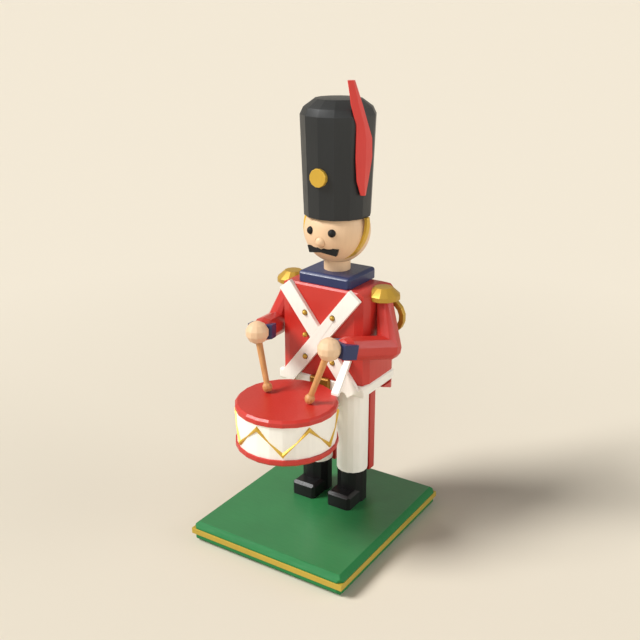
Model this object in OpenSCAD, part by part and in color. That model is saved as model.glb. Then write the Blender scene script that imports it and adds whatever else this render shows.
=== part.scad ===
// A wooden toy soldier that plays a drum and stands on a stepped plinth.
// The origin is the centre of the plinth's underside, the soldier faces -Y
// and his left side is +X. Flat-sided pieces keep the facets of turned and
// carved wood, and every dowel and its hole is truly round.

/* [Plinth] */
// Width of the gold plate that runs round the plinth
plinth_width = 100; // [90:1:120]
// Depth of the gold plate
plinth_depth = 111.7; // [105:0.1:130]
// How far the green slabs stand back from the gold plate
plinth_inset = 0.3; // [0.1:0.1:2]
// Height of the lower green slab
plinth_foot_height = 4.9; // [4:0.1:10]
// Height of the gold plate
plinth_trim_height = 3.5; // [1:0.1:8]
// Height of the upper green slab
plinth_cap_height = 3.8; // [3.5:0.1:10]
// Bevel on the slabs' outer edges and upright corners
plinth_bevel = 2.8; // [0.5:0.1:3]

/* [Legs] */
// Distance from the middle of the figure to the middle of a leg
leg_x = 12.1; // [11.5:0.1:14]
// Distance of the legs behind the middle of the plinth
leg_y = 18.2; // [15:0.1:22]
// Radius over the corners of a trouser leg
leg_radius = 9.1; // [8:0.1:9.5]
// Length of a trouser leg below the coat's front hem
leg_length = 54; // [50:0.5:80]
// Height of a boot
boot_height = 20.2; // [12:0.1:25]
// Radius of a boot's shaft at the plinth
boot_radius = 8.9; // [7:0.1:9.5]
// Radius of a boot's shaft at the trouser leg
boot_top_radius = 8.9; // [6:0.1:9]
// Width of a boot's toe
toe_width = 15.4; // [10:0.1:17]
// Length of the toe in front of the leg's middle
toe_length = 16.5; // [11:0.1:20]
// Height of the toe
toe_height = 8.8; // [5:0.1:11]
// Bevel on the toe's edges
toe_bevel = 1.6; // [0.3:0.1:3]

/* [Coat] */
// Width of the coat
coat_width = 55.2; // [50:0.1:60]
// Depth of the coat
coat_depth = 38.1; // [34:0.1:45]
// Height of the coat above its front hem
coat_height = 59.1; // [52:0.1:70]
// How far the coat's middle lies behind the legs' middle
coat_setback = 3.65; // [0:0.05:5]
// Rounding of the shoulders and of the coat's upright corners
coat_round = 6.5; // [3:0.1:9]
// Bevel along the coat's top edge, front and back
coat_bevel = 1; // [0.5:0.1:3]
// Rounding along the coat's top edge at the back
coat_back_round = 6.5; // [2:0.1:8]
// How much deeper the coat is at the hem than at the top
coat_flare = 4.7; // [1:0.1:7]
// How far the hem falls from the front to the back
coat_hem_fall = 8.3; // [2:0.1:12]
// Length of a coat tail below the front hem
tail_length = 62.3; // [30:0.1:64]
// Width of a coat tail
tail_width = 8; // [8:0.1:14]
// Thickness of a coat tail
tail_thickness = 6; // [3:0.1:8]
// Gap between a coat tail and the leg in front of it
tail_gap = 4.4; // [1:0.1:6]

/* [Belts] */
// How far the waist belt stands proud of the coat
belt_proud = 0.4; // [0.2:0.1:1.5]
// Thickness of the waist belt
belt_thickness = 2; // [1:0.1:3]
// Height of the waist belt
belt_height = 6.7; // [4:0.1:10]
// How far the waist belt hangs below the coat's front hem
belt_drop = 1; // [0:0.1:3]
// Length of the waist belt's side arms
belt_depth = 34.4; // [28:0.1:36]
// Bevel on the waist belt's edges
belt_bevel = 1; // [0.2:0.1:1.2]
// Width of the gold buckle
buckle_width = 13; // [9:0.1:18]
// Height of the gold buckle
buckle_height = 8; // [7:0.1:12]
// Thickness of the gold buckle
buckle_thickness = 2.2; // [1:0.1:4]
// Bevel round the buckle's face
buckle_bevel = 0.9; // [0.2:0.1:1.2]
// Width of a cross belt
cross_width = 8.6; // [6:0.1:11]
// Length of a cross belt
cross_length = 72; // [60:0.5:76]
// Thickness of a cross belt
cross_thickness = 2.6; // [1.6:0.1:4]
// Angle of a cross belt from upright
cross_angle = 38.3; // [34:0.1:42]
// Height of the crossing above the coat's front hem
cross_rise = 29.5; // [26:0.1:33]
// Radius of a coat button
button_radius = 1.4; // [1:0.1:2.5]
// How far a button's face stands in front of the coat
button_reach = 4.1; // [3:0.1:6]
// Distance from the middle of the coat to a row of buttons
button_x = 8.9; // [6:0.1:12]
// Height between two buttons of a row
button_pitch = 13; // [10:0.1:16]

/* [Drum] */
// Radius of the upper rim
drum_radius = 27.7; // [24:0.1:29]
// How far the lower rim is larger in radius
drum_flare = 0.2; // [0:0.1:1]
// How far the shell lies inside the upper rim
drum_shell_inset = 0.8; // [0.3:0.1:2]
// Height of the whole drum
drum_height = 25.9; // [18:0.1:30]
// Height of a rim
rim_height = 3.7; // [2:0.1:6]
// Bevel on a rim's outer edge
rim_bevel = 1.3; // [0.3:0.1:1.5]
// Height of the drum's top above the coat's front hem
drum_rise = 5.5; // [2:0.1:8]
// Gap between the drum's rim and the coat
drum_gap = 6.1; // [4:0.1:12]
// Radius of the gold lacing
lace_radius = 1.15; // [1.1:0.05:1.6]
// Height of the band that the lacing zigzags through
lace_band = 13.3; // [8:0.1:15]
// Width of the drum sling at the coat
sling_width = 3.6; // [2:0.1:6]
// Width of the drum sling at the drum
sling_low_width = 4.4; // [2:0.1:6]
// Thickness of the drum sling
sling_thickness = 1.4; // [0.8:0.1:3]
// Height of the sling's upper end above the coat's front hem
sling_rise = 19.5; // [16:0.1:24]
// Distance from the middle of the coat to the sling's upper end
sling_x = 18.2; // [14:0.1:20]
// Distance from the middle of the drum to the sling's lower end
sling_low_x = 19.4; // [17:0.1:21]
// Radius of the pegs that carry the drum
drum_peg_radius = 2; // [1.2:0.1:2.5]

/* [Arms] */
// How far the shoulder dowel lies below the coat's top
shoulder_drop = 7.6; // [6.5:0.1:11]
// Radius of the arm at its shoulder
shoulder_radius = 4.6; // [3.8:0.1:5]
// Thickness of the arm at its shoulder, along the dowel
shoulder_thickness = 4.6; // [4:0.1:7]
// Angle that an arm swings up from the drum
arm_swing = 40; // [20:1:45]
// Gap between the arm and the coat
arm_gap = 0.4; // [0.3:0.1:1]
// How far the elbow stands out beside the shoulder dowel
elbow_out = 9.4; // [9:0.1:12]
// How far the elbow lies in front of the shoulder dowel
elbow_forward = 6; // [3:0.1:8]
// How far the elbow lies below the shoulder dowel
elbow_drop = 23.4; // [21:0.1:27]
// Radius of the elbow
elbow_radius = 6.9; // [6:0.1:7.2]
// How far the hand lies inward of the elbow
hand_in = 14.1; // [12:0.1:15]
// How far the hand lies in front of the elbow
hand_forward = 38.6; // [36:0.1:42]
// How far the hand lies above the elbow
hand_rise = 8.7; // [7:0.1:12]
// Radius of the hand
hand_radius = 6.4; // [5:0.1:7]
// Radius of the sleeve's round end inside the cuff
sleeve_radius = 6.7; // [5.2:0.1:6.8]
// Width of the cuff
cuff_width = 13.6; // [13.4:0.1:16]
// Height of the cuff
cuff_height = 7.8; // [7.4:0.1:9]
// How far the cuff's middle lies below the sleeve's
cuff_drop = 0.1; // [0:0.1:0.6]
// Length of the cuff along the arm
cuff_length = 9.5; // [7:0.1:12]
// How far the middle of the sleeve's round end lies inside the cuff
cuff_overlap = 1.6; // [1.2:0.1:2]
// Gap between the middle of the hand and the cuff
cuff_setback = 4.4; // [3:0.1:5]
// Radius of the dowel in each shoulder
shoulder_dowel_radius = 2; // [1.5:0.1:2.5]
// Radius of the dowel in each wrist
wrist_dowel_radius = 1.5; // [1:0.1:2]
// Radius of a drumstick at the hand
stick_radius = 1.9; // [1.2:0.1:2.4]
// Radius of a drumstick above its knob
stick_tip_radius = 1.5; // [1:0.1:2]
// Radius of a drumstick's knob
knob_radius = 2.7; // [2.1:0.1:4]
// Length of a drumstick's knob
knob_length = 4.4; // [3:0.1:6]
// Distance between the knob's middle and the middle of the drum, sideways
knob_x = 12.8; // [10:0.1:16]
// Distance of the knob's middle behind the middle of the drum
knob_y = 1.2; // [0:0.1:5]
// Height of a knob's underside above the drum's top
stick_gap = 0.3; // [0.3:0.05:0.8]

/* [Shoulders] */
// Radius of an epaulette
epaulette_radius = 9.3; // [7:0.1:10]
// Height of an epaulette's edge
epaulette_edge = 2.4; // [1.5:0.1:4]
// Height of an epaulette's crown above its edge
epaulette_crown = 4; // [2:0.1:6]
// Radius of an epaulette's flat top
epaulette_top_radius = 4.9; // [2:0.1:6]
// Distance from an epaulette's middle to the coat's side
epaulette_out = 1.9; // [1:0.1:4]
// Height of an epaulette's edge above the shoulder dowel
epaulette_rise = 1.8; // [1.5:0.1:3]
// Outer radius of the gold shoulder cord
cord_radius = 10.6; // [7:0.1:11]
// Thickness of the gold shoulder cord
cord_thickness = 3; // [2:0.1:4]
// Distance of the cord behind the shoulder dowel
cord_setback = 7.8; // [7:0.1:10]
// Distance of the cord's middle below the shoulder dowel
cord_drop = 10.4; // [8:0.1:11]

/* [Head] */
// Width of the collar
collar_width = 33; // [24:0.1:34]
// Depth of the collar
collar_depth = 29.4; // [22:0.1:32]
// Height of the collar
collar_height = 6.4; // [3:0.1:9]
// Bevel on the collar's edges
collar_bevel = 1.5; // [0.3:0.1:2.5]
// Radius of the neck
neck_radius = 7.4; // [6:0.1:9]
// Radius of the head
head_radius = 18.2; // [16:0.1:20]
// Height of the head's middle above the collar
head_rise = 22; // [21:0.1:26]
// Radius of the dowel that the head turns on
neck_dowel_radius = 4; // [3:0.1:5]
// Radius of an eye
eye_radius = 2.2; // [1.5:0.1:3]
// How far an eye stands out of the head
eye_proud = 1.7; // [0.2:0.1:2]
// Radius of the nose
nose_radius = 3; // [2.5:0.1:4.5]
// How far the nose stands out of the head
nose_proud = 1.8; // [1:0.1:3]
// Half the width of the moustache
moustache_reach = 10.2; // [7:0.1:12]
// Height of the moustache at its tips
moustache_height = 3.8; // [2:0.1:5]
// How far the moustache stands in front of the head
moustache_proud = 1.4; // [0.6:0.1:3]
// Width of the chin strap
strap_width = 3.2; // [1.5:0.1:4]
// Thickness of the chin strap
strap_thickness = 1.6; // [0.8:0.1:2]
// Radius of the chin strap's ring
strap_radius = 20; // [19:0.1:21]

/* [Hat] */
// Radius over the corners of the hat's lower edge
hat_radius = 18.3; // [18.2:0.1:21]
// Radius over the corners of the hat at its widest
hat_top_radius = 20.3; // [18.5:0.1:24]
// Height of the hat up to its bevelled top
hat_side_height = 53.2; // [40:0.1:70]
// Height of the hat's lower edge above the middle of the head
hat_rise = 8.8; // [7:0.1:11]
// Height of the lower of the hat's two top bevels
hat_bevel_height = 3.8; // [2:0.1:6]
// Height of the upper of the hat's two top bevels
hat_crown_height = 4.2; // [0.6:0.1:6]
// Radius over the corners between the two bevels
hat_bevel_radius = 18.5; // [14:0.1:20]
// Radius over the corners of the hat's flat top
hat_crown_radius = 12.6; // [8:0.1:16]
// Radius over the corners of the cockade
cockade_radius = 5; // [3:0.1:7]
// Height of the cockade's middle above the hat's lower edge
cockade_rise = 22.4; // [12:0.1:30]
// How far the cockade stands in front of the hat
cockade_proud = 1.3; // [0.5:0.1:3]
// Width of the plume at its widest
plume_width = 9.9; // [6:0.1:13]
// Length of the plume
plume_length = 58.5; // [45:0.5:70]
// Thickness of the plume along its ridge
plume_thickness = 3.6; // [2:0.1:5]
// Height of the plume's foot above the hat's lower edge
plume_rise = 13.2; // [8:0.1:20]
// Angle round the hat from its front to the plume
plume_angle = 68; // [50:1:90]

/* [Fits] */
// Gap all round a shaft that turns in its hole
running_gap = 0.06; // [0.03:0.01:0.1]
// Gap between a fixed piece and the recess it sits in
seat_gap = 0.3; // [0.1:0.05:0.35]
// Radius of the screws that hold the boots to the plinth
screw_radius = 1.8; // [1.2:0.1:2.5]
// Radius of a screw's head
screw_head_radius = 3.6; // [3:0.1:4.5]
// Height of a screw's head
screw_head_height = 2.4; // [1.5:0.1:3]
// Radius of the dowel in each leg
leg_dowel_radius = 3; // [2:0.1:3.5]

/* [Hidden] */

gold = [0.84, 0.69, 0.27];
green = [0.29, 0.54, 0.34];
red = [0.79, 0.24, 0.20];
white = [0.93, 0.91, 0.85];
navy = [0.24, 0.28, 0.51];
black = [0.12, 0.12, 0.12];
soot = [0.23, 0.23, 0.22];
skin = [0.93, 0.80, 0.65];
beech = [0.80, 0.62, 0.42];
steel = [0.70, 0.70, 0.72];

// Facets of round pieces, of turned pieces with flat sides and of small turned pieces
round_facets = 48;
leg_facets = 16;
boot_facets = 12;
hat_facets = 14;
arm_facets = 10;
hand_facets = 12;
small_facets = 10;
corner_steps = 2;
lace_peaks = 6;
drum_facets = 4 * lace_peaks;
button_rows = 3;
cord_steps = 8;
swing_steps = 4;

// How far a cut runs past the face it opens
overrun = 1;

// Heights of the plinth's layers and of the legs
trim_z = plinth_foot_height;
cap_z = trim_z + plinth_trim_height;
floor_z = cap_z + plinth_cap_height;
hem_z = floor_z + boot_height;
coat_z = hem_z + leg_length;
coat_top_z = coat_z + coat_height;

// Places of the coat
coat_y = leg_y + coat_setback;
coat_front_y = coat_y - coat_depth / 2;
coat_side_x = coat_width / 2;
// The head, collar, shoulders and hat share one upright line
axis_setback = 1.3;
axis_y = leg_y + axis_setback;
// How far the legs are let into the coat, and how far the fall of the hem starts behind them
leg_tenon = 4;
hem_level_share = 0.44;
leg_dowel_inset = 6;
leg_dowel_reach = 12;
screw_reach = 7;
tail_tenon = 5;
tail_x = 8;
tail_y = leg_y + leg_radius + tail_gap;

// Places of the belts
belt_front_y = coat_front_y - belt_proud;
belt_z = coat_z - belt_drop;
belt_width = coat_width + 2 * belt_proud;
cross_z = coat_z + cross_rise;
cross_face_y = coat_front_y - cross_thickness;
button_stem_share = 0.85;
button_shank_share = 0.5;
button_shank_depth = 5;
// How far the middle buttons sit above the crossing of the belts
button_offset = 0.8;

// Places of the drum
drum_y = coat_front_y - drum_gap - drum_radius;
drum_top_z = coat_z + drum_rise;
drum_z = drum_top_z - drum_height;
shell_radius = drum_radius - drum_shell_inset;
shell_z = drum_z + rim_height;
shell_height = drum_height - 2 * rim_height;
drum_peg_x = leg_x / 2;
drum_peg_z = shell_z + shell_height / 4;
drum_peg_depth = 3.5;
sling_head = 1.5;
lace_thin_share = 0.4;
lace_edge_share = 0.4;
// The pegs run from inside the drum to just short of the legs' own dowels
drum_peg_front_y = drum_y + sqrt(pow(shell_radius, 2) - pow(drum_peg_x, 2)) - drum_peg_depth;
drum_peg_back_y = leg_y - sqrt(pow(leg_radius, 2) - pow(leg_x - drum_peg_x, 2)) + drum_peg_depth;

// Places of the arms, for the left side
shoulder_x = coat_side_x + arm_gap;
shoulder_z = coat_top_z - shoulder_drop;
elbow = [coat_side_x + elbow_out, axis_y - elbow_forward, shoulder_z - elbow_drop];
hand = elbow + [-hand_in, -hand_forward, hand_rise];
forearm_length = norm(hand - elbow);
forearm_pitch = acos((hand[2] - elbow[2]) / forearm_length);
forearm_turn = atan2(hand[1] - elbow[1], hand[0] - elbow[0]);
cuff_end = forearm_length - cuff_setback;
cuff_start = cuff_end - cuff_length;
sleeve_end = cuff_start + cuff_overlap;
cuff_bevel = 0.5;
knob_foot = [knob_x, drum_y + knob_y, drum_top_z + stick_gap];
stick_length = norm(hand - knob_foot);
stick_pitch = acos((hand[2] - knob_foot[2]) / stick_length);
stick_turn = atan2(hand[1] - knob_foot[1], hand[0] - knob_foot[0]);
shoulder_dowel_depth = 10;
shoulder_dowel_grip = 3.4;
wrist_dowel_back = 4;
wrist_dowel_front = 3;
knob_end_share = 0.72;
knob_rest_share = 0.15;

// Places of the epaulettes and the shoulder cord
epaulette_x = coat_side_x + epaulette_out;
epaulette_z = shoulder_z + epaulette_rise;
cord_out_share = 0.075;
cord_x = coat_side_x + cord_radius * cord_out_share;
cord_z = shoulder_z - cord_drop;

// Places of the head and the hat
collar_top_z = coat_top_z + collar_height;
head_z = collar_top_z + head_rise;
neck_dowel_depth = 14;
neck_dowel_reach = 10;
neck_seat_share = 0.91;
eye_side_angle = 22;
eye_rise_angle = 6.6;
nose_fall_angle = 11;
nose_plug_depth = 3;
moustache_drop = 8.8;
moustache_angle = 14;
moustache_depth = 6;
hat_z = head_z + hat_rise;
hat_dowel_radius = 3;
hat_dowel_depth = 8;
hat_dowel_reach = 10;
cockade_depth = 3;
hat_front_radius = hat_radius + (hat_top_radius - hat_radius) * cockade_rise / hat_side_height;
// The chin strap is part of a ring round the head, tilted forward at the chin
strap_angle = 16;
strap_rise = 3;
strap_forward = 1.5;
// Outline of half a moustache, as shares of its reach and of its height at the tip
moustache_shares = [[0, 0.42], [0, 0.78], [0.32, 1.29], [1, 1], [0.86, 0]];
// Outline of the plume: height as a share of its length, and its two edges as shares of its width
plume_shares = [[0, 0.01, 0.34], [0.13, -0.25, 0.5], [0.33, -0.34, 0.72], [0.5, -0.33, 0.69],
    [0.62, -0.33, 0.42], [0.8, -0.69, 0.02], [0.86, -0.74, -0.13], [1, -0.91, -0.47]];
plume_edge = 0.6;
plume_offset = 19.9;

// Outline of a block seen from one side: edges bevelled at the top and the bottom
function bevel_edge(x, z, dx, dz, bevel) =
    bevel > 0 ? [[x, z + dz * bevel], [x + dx * bevel, z]] : [[x, z]];
function flip(points) = [for (i = [len(points) - 1:-1:0]) points[i]];
function bevel_side(width, height, top, bottom) = concat(
    flip(bevel_edge(width / 2, 0, -1, 1, bottom)),
    bevel_edge(width / 2, height, -1, -1, top),
    flip(bevel_edge(-width / 2, height, 1, -1, top)),
    bevel_edge(-width / 2, 0, 1, 1, bottom));

// Outline of a prism with flat sides, its first corner at the given angle
function prism_points(radius, facets, start = 0) =
    [for (i = [0:facets - 1]) radius * [cos(start + 360 * i / facets), sin(start + 360 * i / facets)]];

// Points along a quarter round in equal steps
function corner_points(x, y, radius, start, steps) =
    [for (i = [0:steps])
        [x + radius * cos(start + 90 * i / steps), y + radius * sin(start + 90 * i / steps)]];

// Block centred on x = 0 and y = 0 that stands on z = 0, with flat bevels
module bevel_block(width, depth, height, corner, top, bottom) {
    intersection() {
        linear_extrude(height = height)
            translate([0, -depth / 2])
                polygon(bevel_side(width, depth, corner, corner));
        translate([0, depth / 2, 0])
            rotate([90, 0, 0])
                linear_extrude(height = depth)
                    polygon(bevel_side(width, height, top, bottom));
        translate([-width / 2, 0, 0])
            rotate([90, 0, 90])
                linear_extrude(height = width)
                    polygon(bevel_side(depth, height, top, bottom));
    }
}

// Upright prism with flat sides, wider or narrower at the top
module taper_prism(radius, top_radius, height, facets, start = 0) {
    linear_extrude(height = height, scale = top_radius / radius)
        polygon(prism_points(radius, facets, start));
}

// Solid that joins rings of points, each ring with as many points as the next
module loft(rings) {
    count = len(rings[0]);
    last = len(rings) - 1;
    polyhedron(
        points = [for (ring = rings) for (p = ring) p],
        faces = concat(
            [[for (i = [0:count - 1]) i]],
            [[for (i = [count - 1:-1:0]) last * count + i]],
            [for (k = [0:last - 1]) for (i = [0:count - 1]) each [
                [k * count + i, (k + 1) * count + i, k * count + (i + 1) % count],
                [k * count + (i + 1) % count, (k + 1) * count + i, (k + 1) * count + (i + 1) % count]]]));
}

// Ring of points of a prism at one height
function prism_ring(radius, facets, start, z) =
    [for (p = prism_points(radius, facets, start)) [p[0], p[1], z]];

// Round rod or hole along +Z
module rod(radius, length) {
    cylinder(r = radius, h = length, $fn = round_facets);
}

// Places a piece that points along +Z onto a line that leaves a point
module along(point, pitch, turn) {
    translate(point)
        rotate([0, pitch, turn])
            children();
}

// Mirrors the left-hand piece when side is -1
module sided(side) {
    if (side > 0) children();
    else mirror([1, 0, 0]) children();
}

// Pieces of the plinth

module screw_holes(length) {
    for (side = [-1, 1])
        translate([side * leg_x, leg_y, -overrun])
            rod(screw_radius + seat_gap, length + 2 * overrun);
}

module plinth_slab(height, top, bottom) {
    bevel_block(plinth_width - 2 * plinth_inset, plinth_depth - 2 * plinth_inset,
        height, plinth_bevel, top, bottom);
}

module plinth_foot() {
    color(green)
        difference() {
            plinth_slab(plinth_foot_height, 0, plinth_bevel);
            screw_holes(plinth_foot_height);
            for (side = [-1, 1])
                translate([side * leg_x, leg_y, -overrun])
                    rod(screw_head_radius + seat_gap, overrun + screw_head_height + seat_gap);
        }
}

module plinth_trim() {
    color(gold)
        translate([0, 0, trim_z])
            difference() {
                bevel_block(plinth_width, plinth_depth, plinth_trim_height, 0, 0, 0);
                screw_holes(plinth_trim_height);
            }
}

module plinth_cap() {
    color(green)
        translate([0, 0, cap_z])
            difference() {
                plinth_slab(plinth_cap_height, plinth_bevel, 0);
                screw_holes(plinth_cap_height);
            }
}

// Screws that come up through the plinth into the boots
module base_screws() {
    color(steel)
        for (side = [-1, 1])
            translate([side * leg_x, leg_y, seat_gap]) {
                rod(screw_head_radius, screw_head_height);
                rod(screw_radius, floor_z + screw_reach - seat_gap);
            }
}

// Pieces of the legs

module boot(side) {
    color(black)
        translate([side * leg_x, leg_y, floor_z])
            difference() {
                union() {
                    taper_prism(boot_radius, boot_top_radius, boot_height, boot_facets, 180 / boot_facets);
                    translate([0, -toe_length / 2, 0])
                        bevel_block(toe_width, toe_length, toe_height, toe_bevel, toe_bevel, 0);
                }
                translate([0, 0, -overrun])
                    rod(screw_radius + running_gap, overrun + screw_reach + seat_gap);
                translate([0, 0, boot_height - leg_dowel_inset])
                    rod(leg_dowel_radius + running_gap, leg_dowel_inset + overrun);
            }
}

module left_boot() {
    boot(1);
}

module right_boot() {
    boot(-1);
}

module drum_peg(gap) {
    translate([drum_peg_x, drum_peg_back_y + gap, drum_peg_z])
        rotate([90, 0, 0])
            rod(drum_peg_radius + gap, drum_peg_back_y - drum_peg_front_y + 2 * gap);
}

module trouser_leg(side) {
    color(white)
        difference() {
            translate([side * leg_x, leg_y, hem_z])
                difference() {
                    linear_extrude(height = leg_length + leg_tenon)
                        polygon(prism_points(leg_radius, leg_facets, 180 / leg_facets));
                    translate([0, 0, -overrun])
                        rod(leg_dowel_radius + running_gap, leg_length + leg_tenon + 2 * overrun);
                }
            sided(side) drum_peg(running_gap);
        }
}

module left_trouser_leg() {
    trouser_leg(1);
}

module right_trouser_leg() {
    trouser_leg(-1);
}

// Dowels that run from the boots through the trouser legs into the coat
module leg_dowels() {
    color(beech)
        for (side = [-1, 1])
            translate([side * leg_x, leg_y, hem_z - leg_dowel_inset + seat_gap])
                rod(leg_dowel_radius, leg_dowel_inset + leg_length + leg_dowel_reach - 2 * seat_gap);
}

// Pieces of the coat

module coat_outline() {
    x = coat_side_x - coat_round;
    y = coat_depth / 2 - coat_round;
    polygon(concat(
        corner_points(x, y, coat_round, 0, corner_steps),
        corner_points(-x, y, coat_round, 90, corner_steps),
        corner_points(-x, -y, coat_round, 180, corner_steps),
        corner_points(x, -y, coat_round, 270, corner_steps)));
}

module coat_front_outline() {
    shoulder = coat_height - coat_round;
    translate([-coat_side_x, -coat_hem_fall])
        square([coat_width, shoulder + coat_hem_fall]);
    translate([coat_round - coat_side_x, 0])
        square([coat_width - 2 * coat_round, coat_height]);
    for (side = [-1, 1])
        translate([side * (coat_side_x - coat_round), shoulder])
            circle(r = coat_round, $fn = round_facets);
}

module coat_side_outline() {
    front = -coat_depth / 2;
    level = front + coat_depth * hem_level_share;
    back = coat_depth / 2 - coat_flare;
    polygon(concat(
        [[front, 0],
        [level, 0],
        [coat_depth / 2, -coat_hem_fall]],
        corner_points(back - coat_back_round, coat_height - coat_back_round,
            coat_back_round, 0, corner_steps),
        [[front + coat_bevel, coat_height],
        [front, coat_height - coat_bevel]]));
}

module coat_block() {
    translate([0, coat_y, coat_z])
        intersection() {
            translate([0, 0, -coat_hem_fall])
                linear_extrude(height = coat_hem_fall + coat_height) coat_outline();
            translate([0, coat_depth / 2, 0])
                rotate([90, 0, 0])
                    linear_extrude(height = coat_depth) coat_front_outline();
            translate([-coat_side_x, 0, 0])
                rotate([90, 0, 90])
                    linear_extrude(height = coat_width) coat_side_outline();
        }
}

// The part of the belt's space that is cut from the coat: a front bar and two side arms
module belt_band(outer) {
    translate([0, belt_front_y, belt_z])
        difference() {
            translate([-belt_width / 2 - outer, -outer, -outer])
                cube([belt_width + 2 * outer, belt_depth + outer, belt_height + outer]);
            translate([belt_thickness - belt_width / 2, belt_thickness, -2 * outer - overrun])
                cube([belt_width - 2 * belt_thickness, belt_depth + 2 * overrun,
                    belt_height + 3 * outer + 2 * overrun]);
        }
}

module button_places() {
    for (side = [-1, 1], row = [0:button_rows - 1])
        translate([side * button_x, coat_front_y, cross_z + button_offset + (row - 1) * button_pitch])
            rotate([90, 0, 0])
                children();
}

module tail_space(gap) {
    translate([tail_x - gap, tail_y - gap, coat_z - tail_length])
        cube([tail_width + 2 * gap, tail_thickness + 2 * gap, tail_length + tail_tenon + gap]);
}

module coat() {
    color(red)
        difference() {
            coat_block();
            belt_band(overrun);
            for (side = [-1, 1]) {
                translate([side * leg_x, leg_y, coat_z - coat_hem_fall - overrun])
                    rod(leg_radius + seat_gap, coat_hem_fall + overrun + leg_tenon);
                translate([side * leg_x, leg_y, coat_z])
                    rod(leg_dowel_radius + running_gap, leg_dowel_reach);
                sided(side) {
                    tail_space(seat_gap);
                    shoulder_bore(shoulder_dowel_radius + running_gap, seat_gap);
                }
            }
            button_places()
                translate([0, 0, -button_shank_depth - seat_gap])
                    rod(button_radius * button_shank_share + running_gap,
                        button_shank_depth + seat_gap + overrun);
            translate([0, axis_y, coat_top_z - neck_dowel_depth - seat_gap])
                rod(neck_dowel_radius + running_gap, neck_dowel_depth + seat_gap + overrun);
        }
}

module coat_tail(side) {
    color(red)
        sided(side) tail_space(0);
}

module left_coat_tail() {
    coat_tail(1);
}

module right_coat_tail() {
    coat_tail(-1);
}

module collar() {
    color(navy)
        translate([0, axis_y, coat_top_z])
            difference() {
                bevel_block(collar_width, collar_depth, collar_height,
                    collar_bevel, collar_bevel, 0);
                translate([0, 0, -overrun])
                    rod(neck_dowel_radius + running_gap, collar_height + 2 * overrun);
            }
}

// Belts and buttons

module waist_belt() {
    color(white)
        intersection() {
            belt_band(0);
            translate([0, belt_front_y + belt_depth / 2, belt_z])
                bevel_block(belt_width, belt_depth, belt_height, 0, belt_bevel, belt_bevel);
        }
}

module belt_buckle() {
    color(gold)
        translate([0, belt_front_y, belt_z + belt_height / 2])
            rotate([90, 0, 0])
                bevel_block(buckle_width, buckle_height, buckle_thickness,
                    buckle_bevel, buckle_bevel, 0);
}

// A bar from one shoulder to the other hip, and the half of it that a lap joint takes
module cross_bar(angle, extra, from_share, to_share) {
    translate([0, cross_face_y, cross_z])
        rotate([0, angle, 0])
            translate([-cross_width / 2, cross_thickness * from_share, -cross_length / 2])
                cube([cross_width, cross_thickness * (to_share - from_share) + extra, cross_length]);
}

module cross_belt(angle, cut_from_share, cut_to_share, cut_extra) {
    color(white)
        difference() {
            cross_bar(angle, 0, 0, 1);
            translate([0, cut_extra > 0 ? 0 : -overrun, 0])
                cross_bar(-angle, overrun, cut_from_share, cut_to_share);
            translate([-belt_width / 2, belt_front_y, belt_z])
                cube([belt_width, belt_thickness, belt_height]);
            button_places()
                rod(button_radius + seat_gap, cross_thickness + overrun);
        }
}

// The left belt keeps its front half where the two cross, and the right belt its back half
module left_cross_belt() {
    cross_belt(cross_angle, 0.5, 1, overrun);
}

module right_cross_belt() {
    cross_belt(-cross_angle, 0, 0.5, 0);
}

// Domed buttons on short stems, with shanks let into the coat
module coat_buttons() {
    color(gold)
        button_places() {
            translate([0, 0, button_reach - button_radius])
                sphere(r = button_radius, $fn = round_facets);
            rod(button_radius * button_stem_share, button_reach - button_radius);
            translate([0, 0, -button_shank_depth])
                rod(button_radius * button_shank_share, button_shank_depth + button_radius);
        }
}

// Pieces of the drum

module rim(radius, up) {
    flip_z = up ? 0 : 1;
    translate([0, drum_y, up ? drum_top_z - rim_height : shell_z])
        mirror([0, 0, flip_z]) {
            linear_extrude(height = rim_height - rim_bevel)
                polygon(prism_points(radius, drum_facets));
            translate([0, 0, rim_height - rim_bevel])
                taper_prism(radius, radius - rim_bevel, rim_bevel, drum_facets);
        }
}

module drum_top() {
    color(red) rim(drum_radius, true);
}

module drum_bottom() {
    color(red) rim(drum_radius + drum_flare, false);
}

// The drum is a solid turned block between two rims
module drum_shell() {
    color(white)
        difference() {
            translate([0, drum_y, shell_z])
                linear_extrude(height = shell_height)
                    polygon(prism_points(shell_radius, drum_facets));
            for (side = [-1, 1])
                sided(side) drum_peg(running_gap);
        }
}

// Closed solid that joins rings of points, the last ring to the first
module closed_loft(rings) {
    count = len(rings[0]);
    total = len(rings);
    polyhedron(
        points = [for (ring = rings) for (p = ring) p],
        faces = [for (k = [0:total - 1]) for (i = [0:count - 1]) each [
            [k * count + i, (k + 1) % total * count + i, k * count + (i + 1) % count],
            [k * count + (i + 1) % count, (k + 1) % total * count + i,
                (k + 1) % total * count + (i + 1) % count]]]);
}

// Cross-section of the lacing at one upright corner of the shell: thick where it turns, thin between
function lace_ring(corner) = let(
    angle = -90 + corner * 360 / drum_facets,
    turns = corner % 2 == 0,
    up = corner % 4 == 0 ? 1 : -1,
    chord = 2 * shell_radius * sin(90 / lace_peaks),
    stretch = norm([chord, lace_band]) / chord,
    half = lace_radius * (turns ? stretch : lace_thin_share),
    out = shell_radius + lace_radius * (turns ? 1 : lace_thin_share),
    z = shell_z + shell_height / 2 + (turns ? up * lace_band / 2 : 0))
    [for (p = [[shell_radius, -half], [out, -half * lace_edge_share],
        [out, half * lace_edge_share], [shell_radius, half]])
        [p[0] * cos(angle), drum_y + p[0] * sin(angle), z + p[1]]];

// One cord that zigzags round the shell with its flat back on the shell's sides
module drum_lacing() {
    color(gold)
        closed_loft([for (corner = [0:drum_facets - 1]) lace_ring(corner)]);
}

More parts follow.
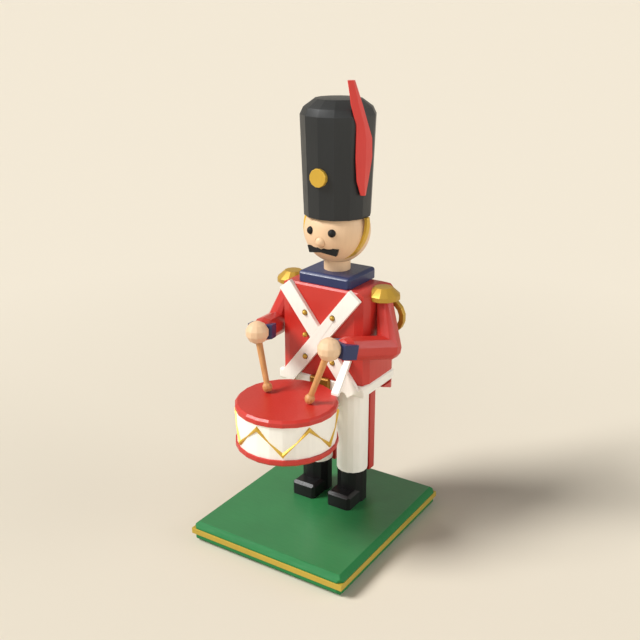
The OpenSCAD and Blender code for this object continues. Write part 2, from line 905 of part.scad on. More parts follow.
// Flat sling from the coat's left breast down to the drum's rim
module drum_sling() {
    rim_y = drum_y + sqrt(pow(drum_radius, 2) - pow(sling_low_x, 2)) - rim_bevel;
    color(white)
        difference() {
            hull() {
                translate([sling_x - sling_width / 2, coat_front_y - sling_head, coat_z + sling_rise])
                    cube([sling_width, sling_head, sling_thickness]);
                translate([sling_low_x - sling_low_width / 2, rim_y - sling_thickness, drum_top_z])
                    cube([sling_low_width, sling_thickness, sling_thickness]);
            }
            cross_bar(-cross_angle, 0, 0, 1);
        }
}

module drum_pegs() {
    color(white)
        for (side = [-1, 1])
            sided(side) drum_peg(0);
}

// Pieces of the shoulders and arms

// Room along the shoulder dowel, from inside the coat to inside the arm
module shoulder_bore(radius, extra) {
    translate([coat_side_x - shoulder_dowel_depth - extra, axis_y, shoulder_z])
        rotate([0, 90, 0])
            rod(radius, shoulder_dowel_depth + arm_gap + shoulder_dowel_grip + 2 * extra);
}

module shoulder_dowels() {
    color(beech)
        for (side = [-1, 1])
            sided(side) shoulder_bore(shoulder_dowel_radius, 0);
}

// Upper arm from the shoulder to the elbow, swung forward by an angle and grown by a gap
module upper_arm(swing, gap) {
    translate([shoulder_x - gap, axis_y, shoulder_z])
        rotate([-swing, 0, 0])
            hull() {
                rotate([0, 90, 0])
                    cylinder(r = shoulder_radius + gap, h = shoulder_thickness + 2 * gap, $fn = arm_facets);
                translate([gap, -axis_y, -shoulder_z] + elbow - [shoulder_x, 0, 0])
                    rotate([0, forearm_pitch, forearm_turn])
                        sphere(r = elbow_radius + gap, $fn = arm_facets);
            }
}

// Upper arm and forearm carved from one piece
module sleeve() {
    upper_arm(0, 0);
    hull() {
        along(elbow, forearm_pitch, forearm_turn)
            sphere(r = elbow_radius, $fn = arm_facets);
        along(elbow, forearm_pitch, forearm_turn)
            translate([0, 0, sleeve_end])
                sphere(r = sleeve_radius, $fn = arm_facets);
    }
}

module wrist_dowel(gap) {
    along(elbow, forearm_pitch, forearm_turn)
        translate([0, 0, sleeve_end - wrist_dowel_back - gap])
            rod(wrist_dowel_radius + gap,
                forearm_length - hand_radius + wrist_dowel_front - sleeve_end + wrist_dowel_back + 2 * gap);
}

module arm(side) {
    color(red)
        sided(side)
            difference() {
                sleeve();
                hand_ball();
                shoulder_bore(shoulder_dowel_radius + running_gap, seat_gap);
                wrist_dowel(running_gap);
            }
}

module left_arm() {
    arm(1);
}

module right_arm() {
    arm(-1);
}

module hand_ball() {
    translate(hand)
        rotate([0, 0, forearm_turn + 180 / hand_facets])
            sphere(r = hand_radius, $fn = hand_facets);
}

module cuff(side) {
    color(navy)
        sided(side)
            difference() {
                along(elbow, forearm_pitch, forearm_turn)
                    translate([cuff_drop, 0, cuff_start])
                        bevel_block(cuff_height, cuff_width, cuff_length, 0, cuff_bevel, 0);
                sleeve();
                hand_ball();
                wrist_dowel(running_gap);
            }
}

module left_cuff() {
    cuff(1);
}

module right_cuff() {
    cuff(-1);
}

module hand_piece(side) {
    color(skin)
        sided(side)
            difference() {
                hand_ball();
                wrist_dowel(running_gap);
                stick_shaft(running_gap);
            }
}

module left_hand() {
    hand_piece(1);
}

module right_hand() {
    hand_piece(-1);
}

module left_wrist_dowel() {
    color(beech) wrist_dowel(0);
}

module right_wrist_dowel() {
    color(beech) mirror([1, 0, 0]) wrist_dowel(0);
}

// The stick narrows from the hand to its knob, and ends inside the hand
module stick_shaft(gap) {
    along(knob_foot, stick_pitch, stick_turn)
        translate([0, 0, knob_length / 2])
            cylinder(r1 = stick_tip_radius + gap, r2 = stick_radius + gap,
                h = stick_length - knob_length / 2 + gap, $fn = round_facets);
}

module drumstick(side) {
    color(beech)
        sided(side) {
            stick_shaft(0);
            along(knob_foot, stick_pitch, stick_turn)
                translate([0, 0, knob_length * knob_rest_share]) {
                    taper_prism(knob_radius * knob_end_share, knob_radius, knob_length / 3, small_facets);
                    translate([0, 0, knob_length / 3])
                        linear_extrude(height = knob_length / 3)
                            polygon(prism_points(knob_radius, small_facets));
                    translate([0, 0, knob_length * 2 / 3])
                        taper_prism(knob_radius, knob_radius * knob_end_share, knob_length / 3, small_facets);
                }
        }
}

module left_drumstick() {
    drumstick(1);
}

module right_drumstick() {
    drumstick(-1);
}

// Flat-topped gold dome that caps the shoulder, hollowed where the arm turns under it
module epaulette(side) {
    color(gold)
        sided(side)
            difference() {
                translate([epaulette_x, axis_y, epaulette_z]) {
                    linear_extrude(height = epaulette_edge)
                        polygon(prism_points(epaulette_radius, boot_facets, 180 / boot_facets));
                    translate([0, 0, epaulette_edge])
                        taper_prism(epaulette_radius, epaulette_top_radius, epaulette_crown,
                            boot_facets, 180 / boot_facets);
                }
                coat_block();
                for (swing = [0:arm_swing / swing_steps:arm_swing])
                    upper_arm(swing, arm_gap);
            }
}

module left_epaulette() {
    epaulette(1);
}

module right_epaulette() {
    epaulette(-1);
}

// Square cord looped out of the coat's side behind the left arm
module shoulder_cord() {
    color(gold)
        translate([cord_x, axis_y + cord_setback + cord_thickness / 2, cord_z])
            rotate([90, 0, 0])
                linear_extrude(height = cord_thickness)
                    difference() {
                        polygon(prism_points(cord_radius, 2 * cord_steps, 90 / cord_steps));
                        polygon(prism_points(cord_radius - cord_thickness, 2 * cord_steps, 90 / cord_steps));
                        translate([-2 * cord_radius - (cord_x - coat_side_x), -cord_radius])
                            square([2 * cord_radius, 2 * cord_radius]);
                    }
}

// Pieces of the head

module neck() {
    color(skin)
        translate([0, axis_y, collar_top_z]) {
            difference() {
                rod(neck_radius, head_rise - head_radius * neck_seat_share);
                translate([0, 0, head_rise])
                    sphere(r = head_radius, $fn = round_facets);
            }
            translate([0, 0, seat_gap - collar_height - neck_dowel_depth])
                rod(neck_dowel_radius, collar_height + neck_dowel_depth + head_rise
                    - head_radius + neck_dowel_reach - 2 * seat_gap);
        }
}

module eye_places() {
    for (side = [-1, 1])
        translate([0, axis_y, head_z])
            rotate([0, 0, side * eye_side_angle])
                rotate([eye_rise_angle * -1, 0, 0])
                    translate([0, -head_radius, 0])
                        children();
}

// The nose is a ball on a round plug as wide as itself
module nose_plug(gap) {
    translate([0, axis_y, head_z])
        rotate([90 + nose_fall_angle, 0, 0])
            translate([0, 0, head_radius + nose_proud - nose_radius - nose_plug_depth - gap])
                rod(nose_radius + (gap > 0 ? running_gap : 0),
                    nose_plug_depth + gap + (gap > 0 ? nose_radius : 0));
}

module nose_ball() {
    translate([0, axis_y, head_z])
        rotate([90 + nose_fall_angle, 0, 0])
            translate([0, 0, head_radius + nose_proud - nose_radius])
                sphere(r = nose_radius, $fn = round_facets);
}

module hat_dowel_rod(gap) {
    translate([0, axis_y, head_z + head_radius - hat_dowel_depth - gap])
        rod(hat_dowel_radius + (gap > 0 ? running_gap : 0), hat_dowel_depth + hat_dowel_reach + 2 * gap);
}

module head() {
    color(skin)
        difference() {
            translate([0, axis_y, head_z])
                sphere(r = head_radius, $fn = round_facets);
            translate([0, axis_y, head_z - head_radius - overrun])
                rod(neck_dowel_radius + running_gap, neck_dowel_reach + overrun);
            eye_places()
                translate([0, eye_radius - eye_proud, 0])
                    sphere(r = eye_radius, $fn = round_facets);
            nose_plug(seat_gap);
            hat_dowel_rod(seat_gap);
        }
}

// Round eyes let into the face
module eyes() {
    color(black)
        eye_places()
            translate([0, eye_radius - eye_proud, 0])
                sphere(r = eye_radius, $fn = round_facets);
}

module nose() {
    color(skin) {
        nose_ball();
        nose_plug(0);
    }
}

module moustache() {
    lip_y = axis_y - sqrt(pow(head_radius, 2) - pow(moustache_drop, 2)) - moustache_proud;
    color(black)
        difference() {
            for (side = [-1, 1])
                sided(side)
                    translate([0, lip_y, head_z - moustache_drop - moustache_height / 2])
                        rotate([90, 0, moustache_angle])
                            translate([0, 0, -moustache_depth])
                                linear_extrude(height = moustache_depth)
                                    polygon([for (share = moustache_shares)
                                        [share[0] * moustache_reach, share[1] * moustache_height]]);
            translate([0, axis_y, head_z])
                sphere(r = head_radius, $fn = 4 * round_facets);
        }
}

// Flat strap that hangs from the hat and sinks into the cheeks
module chin_strap() {
    color(gold)
        difference() {
            translate([0, axis_y - strap_forward, head_z + strap_rise])
                rotate([90 - strap_angle, 0, 0])
                    translate([0, 0, -strap_width / 2])
                        difference() {
                            rod(strap_radius, strap_width);
                            translate([0, 0, -overrun])
                                rod(strap_radius - strap_thickness, strap_width + 2 * overrun);
                        }
            translate([-2 * strap_radius, axis_y - 2 * strap_radius, hat_z])
                cube([4 * strap_radius, 4 * strap_radius, 2 * strap_radius]);
            translate([0, axis_y, head_z])
                sphere(r = head_radius, $fn = round_facets);
        }
}

// Pieces of the hat

module hat_block() {
    bevel_z = hat_side_height + hat_bevel_height;
    translate([0, axis_y, hat_z])
        loft([
            prism_ring(hat_radius, hat_facets, -90, 0),
            prism_ring(hat_top_radius, hat_facets, -90, hat_side_height),
            prism_ring(hat_bevel_radius, hat_facets, -90, bevel_z),
            prism_ring(hat_crown_radius, hat_facets, -90, bevel_z + hat_crown_height)]);
}

module hat() {
    color(soot)
        difference() {
            hat_block();
            translate([0, axis_y, head_z])
                sphere(r = head_radius + seat_gap, $fn = round_facets);
            hat_dowel_rod(seat_gap);
            cockade_block();
        }
}

module hat_dowel() {
    color(beech)
        hat_dowel_rod(0);
}

module cockade_block() {
    translate([0, axis_y - hat_front_radius + cockade_depth, hat_z + cockade_rise])
        rotate([90, 0, 0])
            linear_extrude(height = cockade_depth + cockade_proud)
                polygon(prism_points(cockade_radius, boot_facets, 180 / boot_facets));
}

module cockade() {
    color(gold)
        cockade_block();
}

// One cross-section of the plume, with a ridge down the middle of each face
function plume_ring(share) = [
    [share[1] * plume_width, plume_edge / 2, share[0] * plume_length],
    [share[1] * plume_width, -plume_edge / 2, share[0] * plume_length],
    [(share[1] + share[2]) / 2 * plume_width, -plume_thickness / 2, share[0] * plume_length],
    [share[2] * plume_width, -plume_edge / 2, share[0] * plume_length],
    [share[2] * plume_width, plume_edge / 2, share[0] * plume_length],
    [(share[1] + share[2]) / 2 * plume_width, plume_thickness / 2, share[0] * plume_length]];

// Ridged leaf that lies against the side of the hat
module plume() {
    color(red)
        difference() {
            translate([0, axis_y, hat_z + plume_rise])
                rotate([0, 0, plume_angle])
                    translate([0, -plume_offset, 0])
                        loft([for (share = plume_shares) plume_ring(share)]);
            hat_block();
        }
}

plinth_foot();
plinth_trim();
plinth_cap();
base_screws();
left_boot();
right_boot();
left_trouser_leg();
right_trouser_leg();
leg_dowels();
coat();
left_coat_tail();
right_coat_tail();
collar();
waist_belt();
belt_buckle();
left_cross_belt();
right_cross_belt();
coat_buttons();
drum_sling();
drum_pegs();
drum_shell();
drum_top();
drum_bottom();
drum_lacing();
shoulder_dowels();
left_epaulette();
right_epaulette();
shoulder_cord();
left_arm();
right_arm();
left_cuff();
right_cuff();
left_hand();
right_hand();
left_wrist_dowel();
right_wrist_dowel();
left_drumstick();
right_drumstick();
neck();
head();
eyes();
nose();
moustache();
chin_strap();
hat_dowel();
hat();
cockade();
plume();
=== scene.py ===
# %% [markdown]
# # A toy soldier that plays a drum
# The real thing is a small wooden figure: turned and carved blocks with flat
# facets, painted, doweled together and screwed to a stepped plinth. The solids
# of every block are already made, so this lesson is about finish: soft edges,
# brushed paint, bare wood, light and a camera.

# %% Load the solids
import bpy
import math
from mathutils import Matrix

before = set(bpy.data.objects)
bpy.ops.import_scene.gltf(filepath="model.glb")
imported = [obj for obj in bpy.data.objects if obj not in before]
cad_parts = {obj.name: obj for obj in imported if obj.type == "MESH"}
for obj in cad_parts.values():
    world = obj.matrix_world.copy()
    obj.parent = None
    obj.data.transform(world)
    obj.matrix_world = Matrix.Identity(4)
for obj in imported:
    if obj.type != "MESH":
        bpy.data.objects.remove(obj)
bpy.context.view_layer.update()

# %% [markdown]
# ## Camera
# The photograph looks down a little on the figure from its front left. A
# camera could be aimed with a constraint, but two angles and a place say the
# same thing and never move by themselves, so they are set directly.

# %% Camera
CAMERA_PLACE = (0.24782, -0.38358, 0.29254)
CAMERA_TURN = 32.74
CAMERA_DOWN = 19.91

camera_data = bpy.data.cameras.new("camera")
camera_data.lens = 50
camera_data.sensor_width = 36
camera = bpy.data.objects.new("camera", camera_data)
camera.location = CAMERA_PLACE
camera.rotation_euler = (math.radians(90 - CAMERA_DOWN), 0, math.radians(CAMERA_TURN))
bpy.context.scene.collection.objects.link(camera)
bpy.context.scene.camera = camera
print("camera at", CAMERA_PLACE)

# %% [markdown]
# ## Soft edges
# A block that has been sanded and painted has no razor edge: each one is a
# tiny rounding that catches the light. The solids must keep their own points,
# so the rounding is added by modifiers on top. Weld joins the triangles, Bevel
# cuts the sharp edges, and a very small set of geometry nodes shades as smooth
# what is truly round and leaves the flat facets flat.

# %% A modifier stack for one block
WELD_DISTANCE = 0.000004
BEVEL_STEPS = 2
SHADING = {}


def make_shading_nodes(angle):
    """Make a node group that smooths every edge that bends less than angle degrees."""
    group = bpy.data.node_groups.new("shade_below_%d" % round(angle), "GeometryNodeTree")
    group.interface.new_socket("Geometry", in_out="INPUT", socket_type="NodeSocketGeometry")
    group.interface.new_socket("Geometry", in_out="OUTPUT", socket_type="NodeSocketGeometry")
    start = group.nodes.new("NodeGroupInput")
    end = group.nodes.new("NodeGroupOutput")
    faces = group.nodes.new("GeometryNodeSetShadeSmooth")
    faces.domain = "FACE"
    edges = group.nodes.new("GeometryNodeSetShadeSmooth")
    edges.domain = "EDGE"
    bend = group.nodes.new("GeometryNodeInputMeshEdgeAngle")
    shallow = group.nodes.new("FunctionNodeCompare")
    shallow.operation = "LESS_THAN"
    shallow.inputs["B"].default_value = math.radians(angle)
    group.links.new(start.outputs[0], faces.inputs["Geometry"])
    group.links.new(faces.outputs["Geometry"], edges.inputs["Geometry"])
    group.links.new(bend.outputs["Unsigned Angle"], shallow.inputs["A"])
    group.links.new(shallow.outputs["Result"], edges.inputs["Shade Smooth"])
    group.links.new(edges.outputs["Geometry"], end.inputs[0])
    return group


def soften(name, width, from_angle=16, smooth_below=12):
    """Round the sharp edges of a node by width metres and shade its true curves smooth."""
    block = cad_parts[name]
    weld = block.modifiers.new("weld", "WELD")
    weld.merge_threshold = WELD_DISTANCE
    if width:
        bevel = block.modifiers.new("edges", "BEVEL")
        bevel.width = width
        bevel.segments = BEVEL_STEPS
        bevel.limit_method = "ANGLE"
        bevel.angle_limit = math.radians(from_angle)
        bevel.harden_normals = False
    if smooth_below not in SHADING:
        SHADING[smooth_below] = make_shading_nodes(smooth_below)
    shade = block.modifiers.new("shading", "NODES")
    shade.node_group = SHADING[smooth_below]


# %% [markdown]
# ## Paint
# Brushed paint is never one colour. It is a little thicker and a little thinner
# along the brush strokes, it is slightly uneven over a whole block, and its
# edges take another colour, mostly a lighter one: partly paint rubbed thin, partly
# a painted highlight along the bevels. Each of those is a small node: two noises,
# one of them stretched along the stroke, and a mask that compares the true
# surface with a rounded one to find the edges.

# %% Node helpers
# Where the edge colour sets in; it is partly wear and partly a painted highlight.
EDGE_FULL_WEAR_AND_HIGHLIGHT = 0.82
EDGE_NO_WEAR_AND_HIGHLIGHT = 0.99


def add(tree, kind, **settings):
    """Add a node and set its properties."""
    made = tree.nodes.new(kind)
    for key, value in settings.items():
        setattr(made, key, value)
    return made


def noise(tree, place, scale, stretch, detail=3.0):
    """Add a noise in the object's own space, squeezed or stretched along its axes."""
    sizing = add(tree, "ShaderNodeMapping")
    sizing.inputs["Scale"].default_value = stretch
    tree.links.new(place.outputs["Object"], sizing.inputs["Vector"])
    grain = add(tree, "ShaderNodeTexNoise")
    grain.inputs["Scale"].default_value = scale
    grain.inputs["Detail"].default_value = detail
    tree.links.new(sizing.outputs["Vector"], grain.inputs["Vector"])
    return grain.outputs["Fac"]


def spread(tree, value, low, high, from_low=0.3, from_high=0.7):
    """Map a value from one range to another, by default from a noise's usual range."""
    scale = add(tree, "ShaderNodeMapRange")
    scale.inputs["From Min"].default_value = from_low
    scale.inputs["From Max"].default_value = from_high
    scale.inputs["To Min"].default_value = low
    scale.inputs["To Max"].default_value = high
    tree.links.new(value, scale.inputs["Value"])
    return scale.outputs["Result"]


def blend_colours(tree, factor, first, second):
    """Mix two colours, each given as three numbers or as a socket."""
    mix = add(tree, "ShaderNodeMix", data_type="RGBA")
    for socket, colour in ((mix.inputs[6], first), (mix.inputs[7], second)):
        if isinstance(colour, tuple):
            socket.default_value = (*colour, 1)
        else:
            tree.links.new(colour, socket)
    tree.links.new(factor, mix.inputs[0])
    return mix.outputs[2]


def edge_mask(tree, radius):
    """Give 1 on the edges and 0 on the faces, from how far a rounded surface differs."""
    rounded = add(tree, "ShaderNodeBevel", samples=4)
    rounded.inputs["Radius"].default_value = radius
    true = add(tree, "ShaderNodeNewGeometry")
    agree = add(tree, "ShaderNodeVectorMath", operation="DOT_PRODUCT")
    tree.links.new(rounded.outputs["Normal"], agree.inputs[0])
    tree.links.new(true.outputs["Normal"], agree.inputs[1])
    return spread(tree, agree.outputs["Value"], 1.0, 0.0, EDGE_FULL_WEAR_AND_HIGHLIGHT, EDGE_NO_WEAR_AND_HIGHLIGHT)


def tint(colour, factor):
    """Make a colour lighter or darker."""
    return tuple(min(1.0, c * factor) for c in colour)


# %% [markdown]
# ## One recipe for all paints
# Every painted block differs only in colour, roughness and a few strengths, so
# one function makes them all. The brush noise is used three times, for colour,
# roughness and relief, because a thick stroke is darker, rougher and higher.

# %% A finish that every painted block uses
LONG_STROKES = (1.0, 1.0, 0.12)
CLOUD_SCALE = 45.0
BRUSH_SCALE = 900.0
WEAR_AND_HIGHLIGHT_RADIUS = 0.0006
RELIEF_DEPTH = 0.0002
COAT_ROUGHNESS = 0.25


def paint(name, colour, roughness=0.42, metallic=0.0, coat=0.0, strokes=LONG_STROKES,
          mottle=0.06, edge_wear_and_highlight=0.10, worn_and_highlit_edge=None, bump=0.10, shine=0.5):
    """Make a brushed paint, with strokes stretched along the axis of the small number."""
    material = bpy.data.materials.new(name)
    material.use_nodes = True
    tree = material.node_tree
    shader = tree.nodes["Principled BSDF"]
    place = add(tree, "ShaderNodeTexCoord")
    cloud = noise(tree, place, CLOUD_SCALE, (1, 1, 1), 2.0)
    brush = noise(tree, place, BRUSH_SCALE, strokes, 4.0)
    base = blend_colours(tree, spread(tree, cloud, 0.0, 1.0),
                         tint(colour, 1 - mottle), tint(colour, 1 + mottle))
    streaked = blend_colours(tree, spread(tree, brush, 0.0, 0.35), base, tint(colour, 0.90))
    # The edge colour is partly paint rubbed thin and partly a painted highlight on the bevels.
    mask = add(tree, "ShaderNodeMath", operation="MULTIPLY")
    tree.links.new(edge_mask(tree, WEAR_AND_HIGHLIGHT_RADIUS), mask.inputs[0])
    mask.inputs[1].default_value = edge_wear_and_highlight
    edged = blend_colours(tree, mask.outputs[0], streaked, worn_and_highlit_edge or tint(colour, 1.6))
    tree.links.new(edged, shader.inputs["Base Color"])
    tree.links.new(spread(tree, brush, roughness - 0.05, roughness + 0.07),
                   shader.inputs["Roughness"])
    shader.inputs["Metallic"].default_value = metallic
    shader.inputs["Specular IOR Level"].default_value = shine
    shader.inputs["Coat Weight"].default_value = coat
    shader.inputs["Coat Roughness"].default_value = COAT_ROUGHNESS
    relief = add(tree, "ShaderNodeBump")
    relief.inputs["Strength"].default_value = bump
    relief.inputs["Distance"].default_value = RELIEF_DEPTH
    tree.links.new(brush, relief.inputs["Height"])
    tree.links.new(relief.outputs["Normal"], shader.inputs["Normal"])
    return material


def dress(material, *names):
    """Give one material to each named node."""
    for name in names:
        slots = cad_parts[name].data.materials
        slots.clear()
        slots.append(material)
    print(material.name, "on", len(names))


# %% [markdown]
# ## Plinth
# Two green boards with a gold one between them. The strokes on a board run
# across its width, so the noise is stretched along X instead of upright. The
# green has a clear varnish that mirrors the wall and the boots a little. It is
# rubbed thin on the bevels, so its weight follows how far a face looks up.

# %% Plinth
BOARD_STROKES = (0.12, 1.0, 1.0)
VARNISH_ROUGHNESS = 0.3
FACES_UP = 0.98
FACES_ASIDE = 0.85
VARNISH = 0.85
green = paint("green_paint", (0.014, 0.172, 0.045), 0.66, strokes=BOARD_STROKES, mottle=0.07,
              bump=0.05, shine=0.3)
varnished = green.node_tree.nodes["Principled BSDF"]
facing = add(green.node_tree, "ShaderNodeNewGeometry")
upward = add(green.node_tree, "ShaderNodeSeparateXYZ")
green.node_tree.links.new(facing.outputs["Normal"], upward.inputs[0])
green.node_tree.links.new(
    spread(green.node_tree, upward.outputs["Z"], 0.0, VARNISH, FACES_ASIDE, FACES_UP),
    varnished.inputs["Coat Weight"])
varnished.inputs["Coat Roughness"].default_value = VARNISH_ROUGHNESS
gold_edge = paint("gold_edge_paint", (0.48, 0.33, 0.037), 0.45, metallic=0.1,
                  strokes=BOARD_STROKES)
dress(green, "plinth_foot", "plinth_cap")
dress(gold_edge, "plinth_trim")
for part in ("plinth_foot", "plinth_cap"):
    soften(part, 0.0004)
soften("plinth_trim", 0.0003)

# %% [markdown]
# ## Coat, drum rims and plume
# One tin of red does the coat, its tails, the sleeves and the drum's rims. It
# is a satin paint, so the highlight is wide and soft. The plume's red is painted
# a little lighter, a painted highlight standing in for the light on the plume.

# %% Red pieces
red = paint("red_paint", (0.53, 0.030, 0.020), 0.34, mottle=0.05)
# The plume's red is painted lighter than the coat's, as a painted highlight.
lit_plume_red = paint("lit_plume_red_paint", (0.66, 0.042, 0.034), 0.38, mottle=0.05)
dress(red, "coat", "left_coat_tail", "right_coat_tail", "left_arm", "right_arm",
      "drum_top", "drum_bottom")
dress(lit_plume_red, "plume")
for part in ("coat", "left_coat_tail", "right_coat_tail"):
    soften(part, 0.0005, 14)
for part in ("left_arm", "right_arm"):
    soften(part, 0.0003, 8)
for part in ("drum_top", "drum_bottom"):
    soften(part, 0.0002, 24, 5)
soften("plume", 0.0002, 8)

# %% [markdown]
# ## White pieces
# Trousers, belts, sling and drum are a warm white. White shows every stroke,
# so its mottling is kept weaker than the other colours'.

# %% White pieces
white = paint("white_paint", (0.92, 0.885, 0.80), 0.45, mottle=0.025, worn_and_highlit_edge=(0.91, 0.875, 0.79))
dress(white, "left_trouser_leg", "right_trouser_leg", "waist_belt", "left_cross_belt",
      "right_cross_belt", "drum_sling", "drum_pegs", "drum_shell")
for part in ("left_trouser_leg", "right_trouser_leg", "drum_shell"):
    soften(part, 0.0003, 8)
for part in ("waist_belt", "left_cross_belt", "right_cross_belt", "drum_sling"):
    soften(part, 0.0002)
soften("drum_pegs", 0)

# %% [markdown]
# ## Blue, black and charcoal
# The collar and cuffs are navy. The boots are a gloss black with a clear coat,
# which is what makes their bevels flash. The hat is a softer charcoal.

# %% Dark pieces
navy = paint("navy_paint", (0.018, 0.028, 0.098), 0.34, mottle=0.08, bump=0.04, shine=0.42)
gloss_black = paint("gloss_black_paint", (0.008, 0.008, 0.008), 0.40, coat=0.1, edge_wear_and_highlight=0.06,
                    shine=0.2)
black = paint("black_paint", (0.008, 0.008, 0.008), 0.60, edge_wear_and_highlight=0.05, shine=0.25)
charcoal = paint("charcoal_paint", (0.012, 0.014, 0.0155), 0.42, mottle=0.10, edge_wear_and_highlight=0.08,
                 shine=0.42)
dress(navy, "collar", "left_cuff", "right_cuff")
dress(gloss_black, "left_boot", "right_boot")
dress(black, "moustache", "eyes")
dress(charcoal, "hat")
soften("collar", 0.0005)
for part in ("left_cuff", "right_cuff", "moustache"):
    soften(part, 0.0002)
for part in ("left_boot", "right_boot"):
    soften(part, 0.0004, 10)
soften("hat", 0.0004, 8)
soften("eyes", 0, smooth_below=40)

# %% [markdown]
# ## Skin
# Head, nose, neck and hands are turned wood with a flesh-coloured paint. The
# head is a true ball and is shaded smooth, and the hands keep their facets.

# %% Skin pieces
skin = paint("skin_paint", (0.775, 0.525, 0.318), 0.46, mottle=0.03, worn_and_highlit_edge=(0.76, 0.56, 0.37))
dress(skin, "head", "nose", "neck", "left_hand", "right_hand")
for part in ("head", "nose", "neck"):
    soften(part, 0, smooth_below=40)
for part in ("left_hand", "right_hand"):
    soften(part, 0.0003, 8)

# %% [markdown]
# ## Gold
# Epaulettes, cord, buckle, cockade, strap, lacing and buttons are gold paint,
# which has fine metal in it: partly metallic, with a broad sheen. There are three
# mixes of it: one for the bright pieces, a darker one for the shoulders and
# buttons, and a much darker one for the buckle, which is painted shade for the
# shadow the buckle sits in.

# %% Gold pieces
gold = paint("gold_paint", (0.66, 0.41, 0.052), 0.42, metallic=0.5, mottle=0.06,
             worn_and_highlit_edge=(0.86, 0.62, 0.20))
old_gold = paint("old_gold_paint", (0.50, 0.30, 0.040), 0.42, metallic=0.5, mottle=0.08,
                 worn_and_highlit_edge=(0.74, 0.50, 0.14))
# The buckle's gold is painted darker, as painted shade for the shadow it sits in.
painted_shade_gold = paint("painted_shade_gold_paint", (0.36, 0.17, 0.022), 0.40, metallic=0.5, mottle=0.08,
                  worn_and_highlit_edge=(0.60, 0.36, 0.08))
dress(gold, "cockade", "chin_strap", "drum_lacing")
dress(old_gold, "left_epaulette", "right_epaulette", "shoulder_cord", "coat_buttons")
dress(painted_shade_gold, "belt_buckle")
for part in ("left_epaulette", "right_epaulette", "cockade", "belt_buckle", "shoulder_cord"):
    soften(part, 0.0003, 10)
soften("chin_strap", 0.0002)
soften("drum_lacing", 0, smooth_below=20)
soften("coat_buttons", 0, smooth_below=40)

# %% [markdown]
# ## Bare wood
# The drumsticks and the dowels are unpainted. Wood grain runs along a stick,
# so a noise is squeezed across it and stretched along it, and a second one
# darkens the pores.

# %% Bare wood pieces
RING_SCALE = 420.0
PORE_SCALE = 2600.0


def bare_wood(name, light, dark, strokes):
    """Make a sanded wood whose grain runs along the axis of the small number."""
    material = bpy.data.materials.new(name)
    material.use_nodes = True
    tree = material.node_tree
    shader = tree.nodes["Principled BSDF"]
    place = add(tree, "ShaderNodeTexCoord")
    rings = noise(tree, place, RING_SCALE, strokes, 3.0)
    pores = noise(tree, place, PORE_SCALE, strokes, 2.0)
    grain = blend_colours(tree, spread(tree, rings, 0.0, 1.0), light, dark)
    speckled = blend_colours(tree, spread(tree, pores, 0.0, 0.5, 0.5, 0.8),
                             grain, tint(dark, 0.6))
    tree.links.new(speckled, shader.inputs["Base Color"])
    tree.links.new(spread(tree, rings, 0.45, 0.62), shader.inputs["Roughness"])
    relief = add(tree, "ShaderNodeBump")
    relief.inputs["Strength"].default_value = 0.15
    relief.inputs["Distance"].default_value = RELIEF_DEPTH
    tree.links.new(pores, relief.inputs["Height"])
    tree.links.new(relief.outputs["Normal"], shader.inputs["Normal"])
    return material


beech = bare_wood("bare_wood", (0.66, 0.32, 0.115), (0.52, 0.235, 0.075), (1.0, 1.0, 0.1))
dress(beech, "left_drumstick", "right_drumstick", "leg_dowels", "shoulder_dowels",
      "left_wrist_dowel", "right_wrist_dowel", "hat_dowel")
for part in ("left_drumstick", "right_drumstick"):
    soften(part, 0.0002, 16, 12)
for part in ("leg_dowels", "shoulder_dowels", "left_wrist_dowel", "right_wrist_dowel",
             "hat_dowel"):
    soften(part, 0)

# %% [markdown]
# ## Steel screws
# They sit in the underside of the plinth and only show when it is lifted. Fine
# scratches across bare metal come from a strongly stretched noise.

# %% Screws
steel = paint("brushed_steel", (0.55, 0.55, 0.56), 0.34, metallic=1.0, strokes=(1, 0.08, 1),
              mottle=0.04)
dress(steel, "base_screws")
soften("base_screws", 0)

# %% [markdown]
# ## Floor
# The figure stands on a plain pale sheet that runs far past the camera's view,
# so there is no line behind it. It is one round sheet of triangles, with a
# paper-like unevenness too weak to draw the eye. Its colour is painted a little
# darker near the figure, a painted shade round the toy, and fades to the plain
# paper colour farther out.

# %% Floor
SHEET_RADIUS = 60.0
SHEET_CORNERS = 64
CLOUDS_PER_METRE = 3.0
NEAR_DISTANCE = 0.05
FAR_DISTANCE = 0.55
FAR_PAPER = (0.790, 0.717, 0.592)
corners = [(SHEET_RADIUS * math.cos(2 * math.pi * i / SHEET_CORNERS),
            SHEET_RADIUS * math.sin(2 * math.pi * i / SHEET_CORNERS), 0.0)
           for i in range(SHEET_CORNERS)]
sheet_mesh = bpy.data.meshes.new("studio_sheet")
sheet_mesh.from_pydata([(0.0, 0.0, 0.0)] + corners, [],
                       [(0, 1 + i, 1 + (i + 1) % SHEET_CORNERS) for i in range(SHEET_CORNERS)])
sheet = bpy.data.objects.new("studio_sheet", sheet_mesh)
bpy.context.scene.collection.objects.link(sheet)
paper = bpy.data.materials.new("pale_paper")
paper.use_nodes = True
sheet_tree = paper.node_tree
paper_shader = sheet_tree.nodes["Principled BSDF"]
paper_place = add(sheet_tree, "ShaderNodeTexCoord")
paper_cloud = noise(sheet_tree, paper_place, CLOUDS_PER_METRE, (1, 1, 1), 2.0)
far_out = add(sheet_tree, "ShaderNodeVectorMath", operation="LENGTH")
sheet_tree.links.new(paper_place.outputs["Object"], far_out.inputs[0])
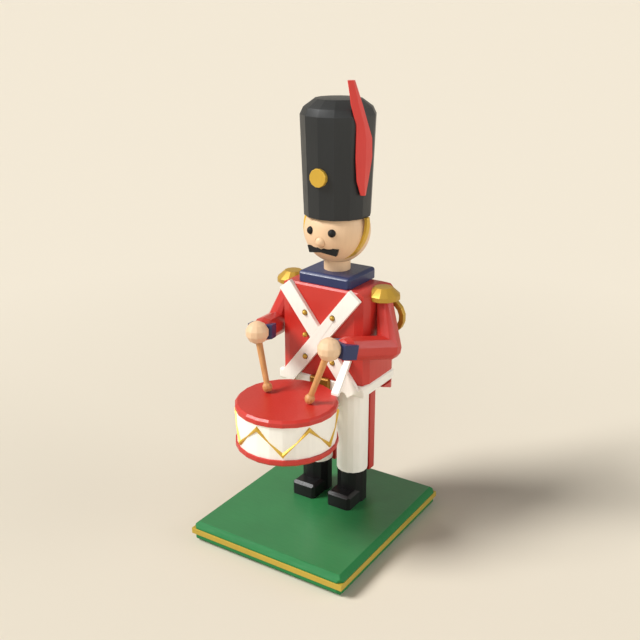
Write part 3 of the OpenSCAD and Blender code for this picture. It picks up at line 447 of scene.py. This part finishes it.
# The paper near the figure is painted darker, as painted shade round the toy.
near_paper_painted_shade = blend_colours(sheet_tree, paper_cloud, (0.705, 0.636, 0.516), (0.715, 0.646, 0.526))
lighter = spread(sheet_tree, far_out.outputs["Value"], 0.0, 1.0, NEAR_DISTANCE, FAR_DISTANCE)
sheet_tree.links.new(blend_colours(sheet_tree, lighter, near_paper_painted_shade, FAR_PAPER),
                     paper_shader.inputs["Base Color"])
paper_shader.inputs["Roughness"].default_value = 0.9
paper_shader.inputs["Specular IOR Level"].default_value = 0.1
sheet_mesh.materials.append(paper)
print("sheet radius:", SHEET_RADIUS)

# %% [markdown]
# ## Lamps
# The main lamp stands high at the front left and makes the long soft shadow to
# the right. A sun lamp with a wide angle does this and is equally bright all
# over the sheet. Two weak and very wide lamps, low at the front right and at
# the right side, keep the shaded faces readable. They replace a brighter room,
# which would wash out the shadow under the plinth.

# %% Lamps
def sun_lamp(name, toward, height, width, power):
    """Add an even lamp that stands toward (x, y) at a height in degrees."""
    data = bpy.data.lights.new(name, "SUN")
    data.energy = power
    data.angle = math.radians(width)
    lamp = bpy.data.objects.new(name, data)
    lamp.rotation_euler = (math.radians(90 - height), 0, math.atan2(toward[0], -toward[1]))
    bpy.context.scene.collection.objects.link(lamp)
    print(name, "power", power)


sun_lamp("soft_lamp", (-0.73, -0.68), 43.5, 23, 3.8)
sun_lamp("front_fill", (0.50, -0.87), 12, 60, 0.95)
sun_lamp("side_fill", (0.94, 0.34), 12, 50, 1.35)

# %% [markdown]
# ## Room
# The world behind everything has two parts. The matt surfaces receive only a
# dim, slightly warm room light. The camera sees a cream wall instead, and the
# shiny surfaces mirror a little over half of that wall, which is what gives
# the paint its soft sheen. The light path node tells the two kinds of ray
# apart, and its values are mixed so that no second scene is needed.

# %% Room
ROOM_POWER = 0.14
ROOM_COLOUR = (1.0, 0.98, 0.95, 1)
WALL_COLOUR = (0.900, 0.815, 0.678, 1)
WALL_IN_GLOSS = 0.6
world = bpy.data.worlds.new("room")
world.use_nodes = True
world_tree = world.node_tree
room = world_tree.nodes["Background"]
room.inputs["Color"].default_value = ROOM_COLOUR
room.inputs["Strength"].default_value = ROOM_POWER
wall = add(world_tree, "ShaderNodeBackground")
wall.inputs["Color"].default_value = WALL_COLOUR
seen = add(world_tree, "ShaderNodeLightPath")
wall_share = add(world_tree, "ShaderNodeMath", operation="MULTIPLY_ADD", use_clamp=True)
world_tree.links.new(seen.outputs["Is Glossy Ray"], wall_share.inputs[0])
wall_share.inputs[1].default_value = WALL_IN_GLOSS
world_tree.links.new(seen.outputs["Is Camera Ray"], wall_share.inputs[2])
choose = add(world_tree, "ShaderNodeMixShader")
world_tree.links.new(wall_share.outputs[0], choose.inputs[0])
world_tree.links.new(room.outputs[0], choose.inputs[1])
world_tree.links.new(wall.outputs[0], choose.inputs[2])
world_tree.links.new(choose.outputs[0], world_tree.nodes["World Output"].inputs["Surface"])
bpy.context.scene.world = world
bpy.context.scene.view_settings.view_transform = "Standard"
print("room power:", ROOM_POWER)
